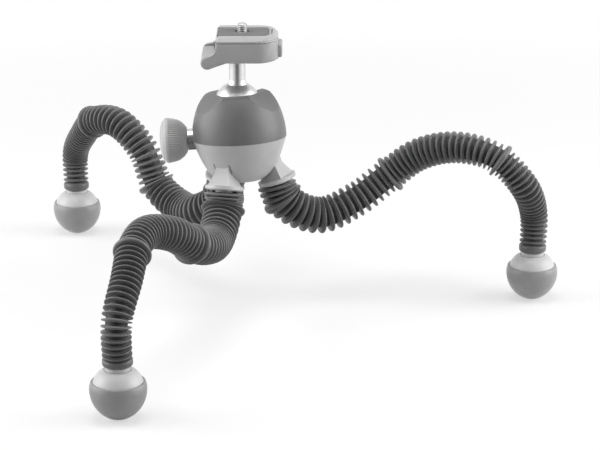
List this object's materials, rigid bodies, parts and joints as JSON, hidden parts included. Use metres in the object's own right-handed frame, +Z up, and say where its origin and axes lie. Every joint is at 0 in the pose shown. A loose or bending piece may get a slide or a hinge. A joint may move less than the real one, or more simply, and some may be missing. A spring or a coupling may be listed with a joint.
{
  "type": "flexible leg tripod",
  "caption": "Small camera tripod with bendable ribbed rubber legs on ball feet, a lockable ball head and a quick release clamp and plate with a camera screw.",
  "frame": {"origin": "on the floor under the three feet, in the middle of the part's outer box", "axes": "+Z up along the camera screw, +X to the viewer's right along the right leg, +Y away from the viewer"},
  "size_m": [0.34, 0.3772, 0.1827],
  "materials": {
    "plate": "satin moulded",
    "pad_rubber": "matt ribbed",
    "steel": "machined",
    "clamp": "satin moulded",
    "button": "satin moulded",
    "ball_metal": "satin turned",
    "inner_plastic": "moulded",
    "upper_shell": "fine grained",
    "lower_shell": "fine grained",
    "knob": "grooved",
    "knob_cap": "satin",
    "brass": "machined",
    "bush": "satin turned",
    "collar": "satin",
    "leg_rubber": "matt ribbed",
    "foot_cap": "satin",
    "foot_rubber": "matt"
  },
  "bodies": {
    "body": {"upper_shell": "upper_shell", "lower_shell": "lower_shell", "body_core": "inner_plastic", "ball_seat": "inner_plastic", "shell_screws": "steel", "knob_bush": "bush", "right_collar": "collar", "back_collar": "collar", "front_collar": "collar", "right_sleeve": "leg_rubber", "back_sleeve": "leg_rubber", "front_sleeve": "leg_rubber"},
    "ball_stem": {"ball_stem": "ball_metal", "stem_screw": "steel"},
    "plate_clamp": {"plate_clamp": "clamp", "lever_pin": "steel", "catch_spring": "steel"},
    "quick_release_plate": {"quick_release_plate": "plate", "plate_pad": "pad_rubber"},
    "camera_screw": {"camera_screw": "steel"},
    "clamp_lever": {"clamp_lever": "plate"},
    "catch_button": {"catch_button": "button"},
    "lock_knob": {"lock_knob": "knob", "knob_cap": "knob_cap", "lock_shaft": "ball_metal"},
    "lock_nut": {"lock_nut": "brass"},
    "right_link_1": {"right_link_1": "inner_plastic"},
    "right_link_2": {"right_link_2": "inner_plastic"},
    "right_link_3": {"right_link_3": "inner_plastic"},
    "right_link_4": {"right_link_4": "inner_plastic"},
    "right_link_5": {"right_link_5": "inner_plastic"},
    "right_link_6": {"right_link_6": "inner_plastic"},
    "right_link_7": {"right_link_7": "inner_plastic"},
    "right_link_8": {"right_link_8": "inner_plastic"},
    "right_link_9": {"right_link_9": "inner_plastic", "right_foot_cap": "foot_cap", "right_foot_pad": "foot_rubber"},
    "back_link_1": {"back_link_1": "inner_plastic"},
    "back_link_2": {"back_link_2": "inner_plastic"},
    "back_link_3": {"back_link_3": "inner_plastic"},
    "back_link_4": {"back_link_4": "inner_plastic"},
    "back_link_5": {"back_link_5": "inner_plastic"},
    "back_link_6": {"back_link_6": "inner_plastic"},
    "back_link_7": {"back_link_7": "inner_plastic"},
    "back_link_8": {"back_link_8": "inner_plastic"},
    "back_link_9": {"back_link_9": "inner_plastic", "back_foot_cap": "foot_cap", "back_foot_pad": "foot_rubber"},
    "front_link_1": {"front_link_1": "inner_plastic"},
    "front_link_2": {"front_link_2": "inner_plastic"},
    "front_link_3": {"front_link_3": "inner_plastic"},
    "front_link_4": {"front_link_4": "inner_plastic"},
    "front_link_5": {"front_link_5": "inner_plastic"},
    "front_link_6": {"front_link_6": "inner_plastic"},
    "front_link_7": {"front_link_7": "inner_plastic"},
    "front_link_8": {"front_link_8": "inner_plastic"},
    "front_link_9": {"front_link_9": "inner_plastic", "front_foot_cap": "foot_cap", "front_foot_pad": "foot_rubber"}
  },
  "joints": [
    {"name": "head_tilt", "type": "hinge", "parent": "body", "child": "ball_stem", "pos_m": [-0.03633, 0.03264, 0.12989], "axis": [-0.8754, 0.4834, 0], "range_deg": [-30, 77]},
    {"name": "head_turn", "type": "hinge", "parent": "ball_stem", "child": "plate_clamp", "pos_m": [-0.03633, 0.03264, 0.12989], "axis": [0, 0, 1], "continuous": true},
    {"name": "plate_slide", "type": "slide", "parent": "plate_clamp", "child": "quick_release_plate", "axis": [-1, 0, 0], "range_m": [0, 0.032]},
    {"name": "camera_screw_turn", "type": "hinge", "parent": "quick_release_plate", "child": "camera_screw", "pos_m": [-0.03303, 0.03264, 0.17719], "axis": [0, 0, 1], "continuous": true},
    {"name": "lever_flip", "type": "hinge", "parent": "plate_clamp", "child": "clamp_lever", "pos_m": [-0.05453, 0.03264, 0.16149], "axis": [0, -1, 0], "range_deg": [0, 60]},
    {"name": "catch_press", "type": "slide", "parent": "plate_clamp", "child": "catch_button", "axis": [-1, 0, 0], "range_m": [0, 0.0015], "stiffness_N_per_m": 800, "springref_m": -0.001, "deforming": ["catch_spring"]},
    {"name": "knob_turn", "type": "hinge", "parent": "body", "child": "lock_knob", "pos_m": [-0.0683, 0.0297, 0.10787], "axis": [-0.9982, -0.0348, -0.0493], "range_deg": [0, 360]},
    {"name": "nut_slide", "type": "slide", "parent": "body", "child": "lock_nut", "axis": [-0.9982, -0.0348, -0.0493], "range_m": [0, 0.001]},
    {"name": "right_leg_1_lift", "type": "hinge", "parent": "body", "child": "right_link_1", "pos_m": [-0.00698, 0.02803, 0.06822], "axis": [-0.1718, 0.9826, 0.0711], "range_deg": [-5, 30], "deforming": ["right_sleeve"]},
    {"name": "right_leg_2_swing", "type": "hinge", "parent": "right_link_1", "child": "right_link_2", "pos_m": [0.01545, 0.0328, 0.05653], "axis": [-0.3186, -0.0111, 0.9478], "range_deg": [-25, 25], "deforming": ["right_sleeve"]},
    {"name": "right_leg_3_lift", "type": "hinge", "parent": "right_link_2", "child": "right_link_3", "pos_m": [0.03886, 0.03996, 0.06449], "axis": [0.1634, -0.9824, 0.0901], "range_deg": [-30, 30], "deforming": ["right_sleeve"]},
    {"name": "right_leg_4_swing", "type": "hinge", "parent": "right_link_3", "child": "right_link_4", "pos_m": [0.05954, 0.04473, 0.07905], "axis": [0.6073, 0.0212, -0.7942], "range_deg": [-25, 25], "deforming": ["right_sleeve"]},
    {"name": "right_leg_5_lift", "type": "hinge", "parent": "right_link_4", "child": "right_link_5", "pos_m": [0.0799, 0.04187, 0.09454], "axis": [0.326, 0.9387, 0.1117], "range_deg": [-30, 30], "deforming": ["right_sleeve"]},
    {"name": "right_leg_6_swing", "type": "hinge", "parent": "right_link_5", "child": "right_link_6", "pos_m": [0.103, 0.03301, 0.10163], "axis": [0.1683, 0.0059, 0.9857], "range_deg": [-25, 25], "deforming": ["right_sleeve"]},
    {"name": "right_leg_7_lift", "type": "hinge", "parent": "right_link_6", "child": "right_link_7", "pos_m": [0.12688, 0.02431, 0.09761], "axis": [-0.0369, -0.9969, 0.0699], "range_deg": [-16, 30], "deforming": ["right_sleeve"]},
    {"name": "right_leg_8_swing", "type": "hinge", "parent": "right_link_7", "child": "right_link_8", "pos_m": [0.1453, 0.02238, 0.07973], "axis": [-0.9301, -0.0325, -0.366], "range_deg": [-16, 25], "deforming": ["right_sleeve"]},
    {"name": "right_leg_9_lift", "type": "hinge", "parent": "right_link_8", "child": "right_link_9", "pos_m": [0.15351, 0.03327, 0.0579], "axis": [-0.0349, 0.9994, 0], "range_deg": [-30, 26], "deforming": ["right_sleeve"]},
    {"name": "back_leg_1_lift", "type": "hinge", "parent": "body", "child": "back_link_1", "pos_m": [-0.04674, 0.04917, 0.06428], "axis": [-0.721, -0.6784, 0.1415], "range_deg": [-5, 30], "deforming": ["back_sleeve"]},
    {"name": "back_leg_2_swing", "type": "hinge", "parent": "back_link_1", "child": "back_link_2", "pos_m": [-0.06265, 0.06301, 0.04952], "axis": [-0.0829, 0.1327, 0.9877], "range_deg": [-25, 25], "deforming": ["back_sleeve"]},
    {"name": "back_leg_3_lift", "type": "hinge", "parent": "back_link_2", "child": "back_link_3", "pos_m": [-0.07574, 0.0848, 0.04549], "axis": [0.7475, 0.6609, 0.0665], "range_deg": [-30, 19], "deforming": ["back_sleeve"]},
    {"name": "back_leg_4_swing", "type": "hinge", "parent": "back_link_3", "child": "back_link_4", "pos_m": [-0.09206, 0.10229, 0.055], "axis": [-0.4971, 0.7956, -0.3463], "range_deg": [-25, 24], "deforming": ["back_sleeve"]},
    {"name": "back_leg_5_lift", "type": "hinge", "parent": "back_link_4", "child": "back_link_5", "pos_m": [-0.10162, 0.10655, 0.07851], "axis": [-0.6777, -0.7082, -0.1977], "range_deg": [-30, 22], "deforming": ["back_sleeve"]},
    {"name": "back_leg_6_swing", "type": "hinge", "parent": "back_link_5", "child": "back_link_6", "pos_m": [-0.11846, 0.11834, 0.094], "axis": [-0.0658, 0.1053, 0.9923], "range_deg": [-17, 25], "deforming": ["back_sleeve"]},
    {"name": "back_leg_7_lift", "type": "hinge", "parent": "back_link_6", "child": "back_link_7", "pos_m": [-0.13588, 0.13702, 0.09086], "axis": [0.8659, 0.4997, 0.0246], "range_deg": [-22, 30], "deforming": ["back_sleeve"]},
    {"name": "back_leg_8_swing", "type": "hinge", "parent": "back_link_7", "child": "back_link_8", "pos_m": [-0.1461, 0.15546, 0.0761], "axis": [0.3765, -0.6026, -0.7036], "range_deg": [-25, 25], "deforming": ["back_sleeve"]},
    {"name": "back_leg_9_lift", "type": "hinge", "parent": "back_link_8", "child": "back_link_9", "pos_m": [-0.15351, 0.17209, 0.0579], "axis": [-0.848, -0.5299, 0], "range_deg": [-30, 7], "deforming": ["back_sleeve"]},
    {"name": "front_leg_1_lift", "type": "hinge", "parent": "body", "child": "front_link_1", "pos_m": [-0.04537, 0.00417, 0.0683], "axis": [0.9642, -0.2328, 0.1267], "range_deg": [-6, 30], "deforming": ["front_sleeve"]},
    {"name": "front_leg_2_swing", "type": "hinge", "parent": "front_link_1", "child": "front_link_2", "pos_m": [-0.04938, -0.01861, 0.05701], "axis": [0.0686, 0.1291, 0.9893], "range_deg": [-25, 25], "deforming": ["front_sleeve"]},
    {"name": "front_leg_3_lift", "type": "hinge", "parent": "front_link_2", "child": "front_link_3", "pos_m": [-0.05381, -0.04371, 0.0606], "axis": [-0.9432, 0.3275, 0.0558], "range_deg": [-30, 30], "deforming": ["front_sleeve"]},
    {"name": "front_leg_4_swing", "type": "hinge", "parent": "front_link_3", "child": "front_link_4", "pos_m": [-0.0613, -0.06676, 0.06926], "axis": [-0.2348, -0.4417, -0.8659], "range_deg": [-25, 25], "deforming": ["front_sleeve"]},
    {"name": "front_leg_5_lift", "type": "hinge", "parent": "front_link_4", "child": "front_link_5", "pos_m": [-0.07245, -0.08606, 0.08213], "axis": [0.8425, -0.5382, 0.0245], "range_deg": [-30, 30], "deforming": ["front_sleeve"]},
    {"name": "front_leg_6_swing", "type": "hinge", "parent": "front_link_5", "child": "front_link_6", "pos_m": [-0.08585, -0.10671, 0.08966], "axis": [-0.0337, -0.0635, 0.9974], "range_deg": [-25, 25], "deforming": ["front_sleeve"]},
    {"name": "front_leg_7_lift", "type": "hinge", "parent": "front_link_6", "child": "front_link_7", "pos_m": [-0.09206, -0.13162, 0.08786], "axis": [-0.9651, 0.2155, -0.1487], "range_deg": [-27, 30], "deforming": ["front_sleeve"]},
    {"name": "front_leg_8_swing", "type": "hinge", "parent": "front_link_7", "child": "front_link_8", "pos_m": [-0.09523, -0.15413, 0.07578], "axis": [0.3312, 0.6229, -0.7088], "range_deg": [-25, 25], "deforming": ["front_sleeve"]},
    {"name": "front_leg_9_lift", "type": "hinge", "parent": "front_link_8", "child": "front_link_9", "pos_m": [-0.09971, -0.17209, 0.0579], "axis": [0.8829, -0.4695, 0], "range_deg": [-30, 6], "deforming": ["front_sleeve"]}
  ],
  "couplings": [
    {"joint": "nut_slide", "follows": "knob_turn", "m_per_rad": 0.00015915}
  ]
}
